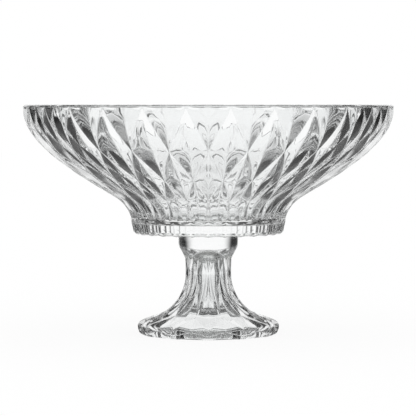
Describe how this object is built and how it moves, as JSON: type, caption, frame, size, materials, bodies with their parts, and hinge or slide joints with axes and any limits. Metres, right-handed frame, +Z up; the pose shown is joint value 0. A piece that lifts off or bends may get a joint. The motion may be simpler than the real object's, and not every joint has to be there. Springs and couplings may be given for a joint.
{
  "type": "centerpiece bowl",
  "caption": "Footed pressed-glass centerpiece bowl: a flared wall of diamond facets over a fluted foot ring, bonded to a faceted, hollow pedestal with a lobed foot.",
  "frame": {"origin": "on the table, under the middle of the foot's resting ring", "axes": "+Z up along the axis of the bowl and pedestal, -Y towards the picture's camera, +X to the camera's right"},
  "size_m": [0.3, 0.3, 0.186],
  "materials": {
    "bowl_glass": "fire-polished",
    "pedestal_glass": "fire-polished",
    "clear_adhesive": "clear"
  },
  "bodies": {
    "root": {"bowl": "bowl_glass", "pedestal": "pedestal_glass", "bond_film": "clear_adhesive"}
  },
  "joints": []
}
